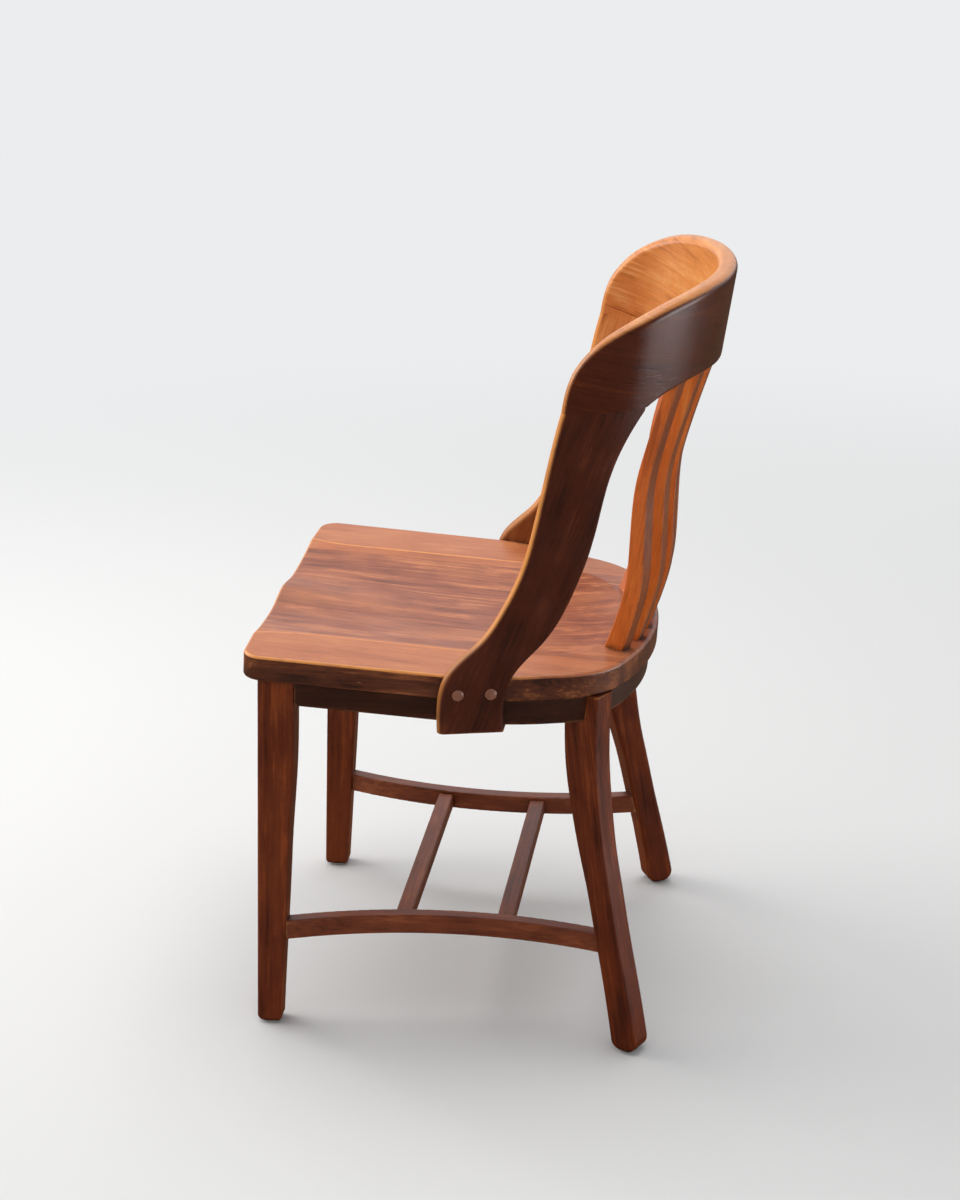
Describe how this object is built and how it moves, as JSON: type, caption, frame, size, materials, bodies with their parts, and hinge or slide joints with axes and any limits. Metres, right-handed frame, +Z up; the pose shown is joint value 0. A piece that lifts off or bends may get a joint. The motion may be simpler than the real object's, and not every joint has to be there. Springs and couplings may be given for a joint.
{
  "type": "side chair",
  "caption": "Wooden side chair with a dished seat, a bent hoop back of two posts and a crest with fanned slats, raked and swept legs and low stretchers.",
  "frame": {"origin": "on the floor, at the centre of the chair's outline seen from above", "axes": "+Z up, +Y towards the back of the chair, X across it"},
  "size_m": [0.4952, 0.5205, 0.8635],
  "materials": {
    "seat_wood": "aged glossy varnish over brown-stained wood",
    "apron_wood": "aged glossy varnish over brown-stained wood",
    "leg_wood": "aged glossy varnish over brown-stained wood",
    "stretcher_wood": "aged glossy varnish over brown-stained wood",
    "post_wood": "aged glossy varnish over brown-stained wood",
    "crest_wood": "aged glossy varnish over brown-stained wood",
    "slat_wood": "aged glossy varnish over brown-stained wood",
    "block_wood": "bare wood",
    "dowel_wood": "bare wood",
    "screw_steel": "dark oxidised round heads",
    "bare_steel": "plain steel",
    "glide_nylon": "scuffed off-white nylon"
  },
  "bodies": {
    "root": {"back_post_left": "post_wood", "back_post_right": "post_wood", "block_screws": "bare_steel", "crest_dowels": "dowel_wood", "crest_rail": "crest_wood", "front_apron": "apron_wood", "front_corner_block_left": "block_wood", "front_corner_block_right": "block_wood", "front_cross_stretcher": "stretcher_wood", "front_leg_left": "leg_wood", "front_leg_right": "leg_wood", "glides": "glide_nylon", "post_screws": "screw_steel", "rear_apron": "apron_wood", "rear_corner_block_left": "block_wood", "rear_corner_block_right": "block_wood", "rear_cross_stretcher": "stretcher_wood", "rear_leg_left": "leg_wood", "rear_leg_right": "leg_wood", "seat_board_1": "seat_wood", "seat_board_2": "seat_wood", "seat_board_3": "seat_wood", "seat_board_4": "seat_wood", "seat_board_5": "seat_wood", "side_apron_left": "apron_wood", "side_apron_right": "apron_wood", "side_stretcher_left": "stretcher_wood", "side_stretcher_right": "stretcher_wood", "slat_1": "slat_wood", "slat_2": "slat_wood", "slat_3": "slat_wood", "slat_4": "slat_wood", "slat_5": "slat_wood", "slat_6": "slat_wood"}
  },
  "joints": []
}
